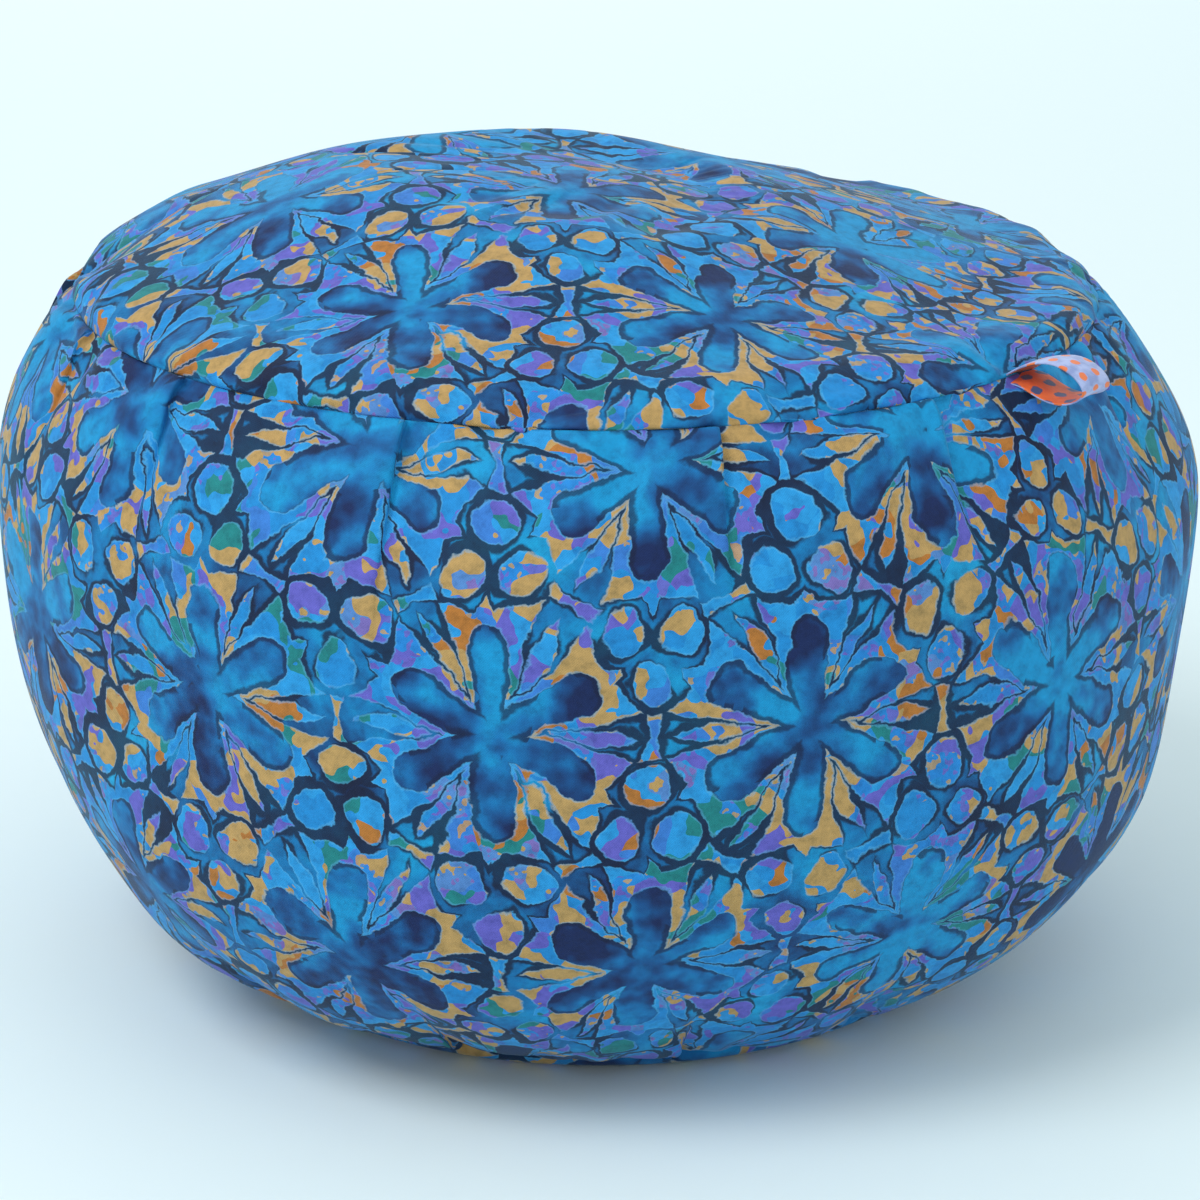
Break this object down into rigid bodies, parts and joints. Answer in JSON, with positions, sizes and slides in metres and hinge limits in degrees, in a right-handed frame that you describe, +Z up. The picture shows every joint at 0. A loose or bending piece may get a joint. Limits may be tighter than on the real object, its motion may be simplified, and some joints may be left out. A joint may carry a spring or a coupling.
{
  "type": "round floor cushion",
  "caption": "Round firm-filled sitting cushion with a pleated side band, a batik-print zipped cotton cover and a ribbon loop in the top seam.",
  "frame": {"origin": "centre of the base panel's resting face, on the floor", "axes": "+Z up along the cushion's axis; the front is towards -Y, the zip is at the back towards +Y, and the ribbon loop is at the right of the front"},
  "size_m": [0.393, 0.393, 0.27],
  "materials": {
    "batik_cotton": "matte woven cotton with a batik print",
    "ribbon": "woven satin-edged ribbon",
    "zip_tape": "matte woven tape",
    "zip_coil": "satin",
    "zip_metal": "satin",
    "zip_stop_metal": "satin",
    "liner_cotton": "matte unbleached cotton",
    "filling_fibre": "matte fibre"
  },
  "bodies": {
    "cushion": {"cover_top_panel": "batik_cotton", "cover_side_band_front": "batik_cotton", "cover_side_band_rear_upper": "batik_cotton", "cover_side_band_rear_lower": "batik_cotton", "cover_base_panel": "batik_cotton", "top_seam_allowance": "batik_cotton", "base_seam_allowance": "batik_cotton", "label_loop": "ribbon", "zip_tape_upper": "zip_tape", "zip_tape_lower": "zip_tape", "zip_coil_upper": "zip_coil", "zip_coil_lower": "zip_coil", "zip_stop_closed_end": "zip_stop_metal", "zip_stop_open_end": "zip_stop_metal", "liner_top_panel": "liner_cotton", "liner_side_band": "liner_cotton", "liner_base_panel": "liner_cotton", "filling": "filling_fibre"},
    "zip_slider": {"zip_slider": "zip_metal"},
    "zip_pull": {"zip_pull": "zip_metal"}
  },
  "joints": [
    {"name": "slider_travel", "type": "hinge", "parent": "cushion", "child": "zip_slider", "pos_m": [0, 0, 0.07], "axis": [0, 0, 1], "range_deg": [0, 147.6]},
    {"name": "pull_pivot", "type": "hinge", "parent": "zip_slider", "child": "zip_pull", "pos_m": [0.17978, 0.05223, 0.06903], "axis": [-0.3227, -0.0937, -0.9419], "range_deg": [0, 170]}
  ]
}
